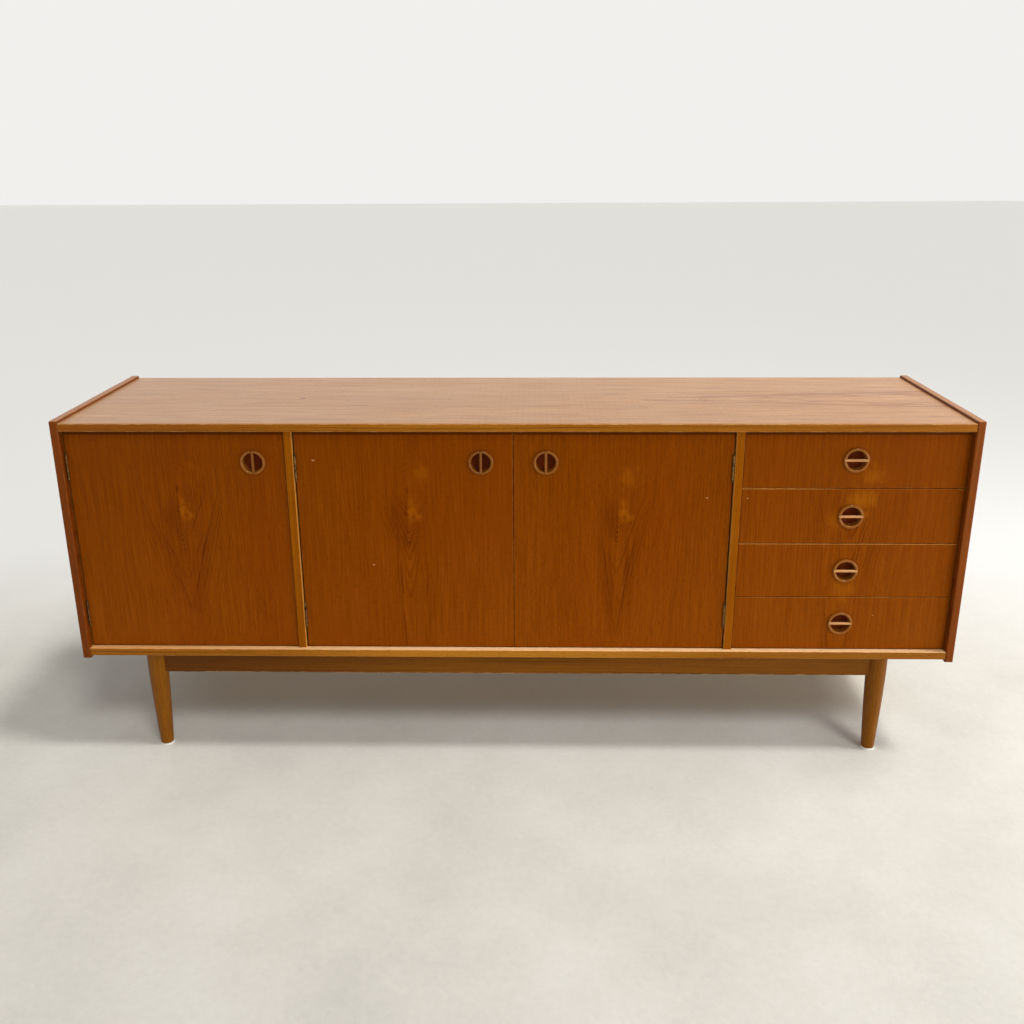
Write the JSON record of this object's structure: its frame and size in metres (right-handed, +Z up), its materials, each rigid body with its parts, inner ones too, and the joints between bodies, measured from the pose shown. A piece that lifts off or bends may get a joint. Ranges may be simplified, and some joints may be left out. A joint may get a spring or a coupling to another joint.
{
  "type": "sideboard",
  "caption": "Long low teak-veneered sideboard on a legged base, with hinged doors, a bank of drawers at the right and round inset pulls with a cross bar.",
  "frame": {"origin": "on the floor, under the centre of the cabinet's outline", "axes": "+Z up, +X along the width (to the right seen from the front), the doors and drawers face -Y"},
  "size_m": [2, 0.465, 0.81],
  "materials": {
    "teak_veneer": "satin lacquered teak veneer, vertical grain",
    "teak_top": "oiled teak veneer, lengthwise grain, satin",
    "teak_solid": "solid teak lipping, satin",
    "teak_base": "solid teak, satin",
    "teak_pull": "turned solid teak, satin",
    "interior_wood": "pale beech, matt",
    "drawer_ply": "thin birch plywood, matt",
    "back_ply": "stained plywood, matt",
    "brass": "dull aged brass",
    "steel": "zinc-plated screw",
    "white_plastic": "off-white moulded plastic"
  },
  "bodies": {
    "carcass": {"side_panel_left": "teak_veneer", "side_panel_right": "teak_veneer", "top_board": "teak_top", "bottom_board": "teak_veneer", "top_lipping": "teak_solid", "bottom_lipping": "teak_solid", "divider_left": "teak_veneer", "divider_right": "teak_veneer", "divider_lippings": "teak_solid", "back_panel": "back_ply", "back_panel_screws": "steel", "shelf_left": "interior_wood", "shelf_middle": "interior_wood", "shelf_pins": "brass", "drawer_runners": "interior_wood", "door_catches": "white_plastic", "hinge_wall_leaves": "brass", "hinge_pins": "brass", "rail_front": "teak_base", "rail_rear": "teak_base", "rail_left": "teak_base", "rail_right": "teak_base", "leg_front_left": "teak_base", "leg_front_right": "teak_base", "leg_rear_left": "teak_base", "leg_rear_right": "teak_base", "floor_glides": "white_plastic", "base_screws": "steel"},
    "door_left": {"door_left_panel": "teak_veneer", "door_left_hinge_leaves": "brass", "door_left_pull_ring": "teak_pull", "door_left_pull_bar": "teak_pull"},
    "door_middle_left": {"door_middle_left_panel": "teak_veneer", "door_middle_left_hinge_leaves": "brass", "door_middle_left_pull_ring": "teak_pull", "door_middle_left_pull_bar": "teak_pull"},
    "door_middle_right": {"door_middle_right_panel": "teak_veneer", "door_middle_right_hinge_leaves": "brass", "door_middle_right_pull_ring": "teak_pull", "door_middle_right_pull_bar": "teak_pull"},
    "drawer_1": {"drawer_1_front": "teak_veneer", "drawer_1_box": "interior_wood", "drawer_1_bottom": "drawer_ply", "drawer_1_pull_ring": "teak_pull", "drawer_1_pull_bar": "teak_pull"},
    "drawer_2": {"drawer_2_front": "teak_veneer", "drawer_2_box": "interior_wood", "drawer_2_bottom": "drawer_ply", "drawer_2_pull_ring": "teak_pull", "drawer_2_pull_bar": "teak_pull"},
    "drawer_3": {"drawer_3_front": "teak_veneer", "drawer_3_box": "interior_wood", "drawer_3_bottom": "drawer_ply", "drawer_3_pull_ring": "teak_pull", "drawer_3_pull_bar": "teak_pull"},
    "drawer_4": {"drawer_4_front": "teak_veneer", "drawer_4_box": "interior_wood", "drawer_4_bottom": "drawer_ply", "drawer_4_pull_ring": "teak_pull", "drawer_4_pull_bar": "teak_pull"}
  },
  "joints": [
    {"name": "door_left_hinge", "type": "hinge", "parent": "carcass", "child": "door_left", "pos_m": [-0.9786, -0.2191, 0.52625], "axis": [0, 0, -1], "range_deg": [0, 100]},
    {"name": "door_middle_left_hinge", "type": "hinge", "parent": "carcass", "child": "door_middle_left", "pos_m": [-0.4761, -0.2191, 0.52625], "axis": [0, 0, -1], "range_deg": [0, 100]},
    {"name": "door_middle_right_hinge", "type": "hinge", "parent": "carcass", "child": "door_middle_right", "pos_m": [0.4761, -0.2191, 0.52625], "axis": [0, 0, 1], "range_deg": [0, 92]},
    {"name": "drawer_1_slide", "type": "slide", "parent": "carcass", "child": "drawer_1", "axis": [0, -1, 0], "range_m": [0, 0.33]},
    {"name": "drawer_2_slide", "type": "slide", "parent": "carcass", "child": "drawer_2", "axis": [0, -1, 0], "range_m": [0, 0.33]},
    {"name": "drawer_3_slide", "type": "slide", "parent": "carcass", "child": "drawer_3", "axis": [0, -1, 0], "range_m": [0, 0.33]},
    {"name": "drawer_4_slide", "type": "slide", "parent": "carcass", "child": "drawer_4", "axis": [0, -1, 0], "range_m": [0, 0.33]}
  ]
}
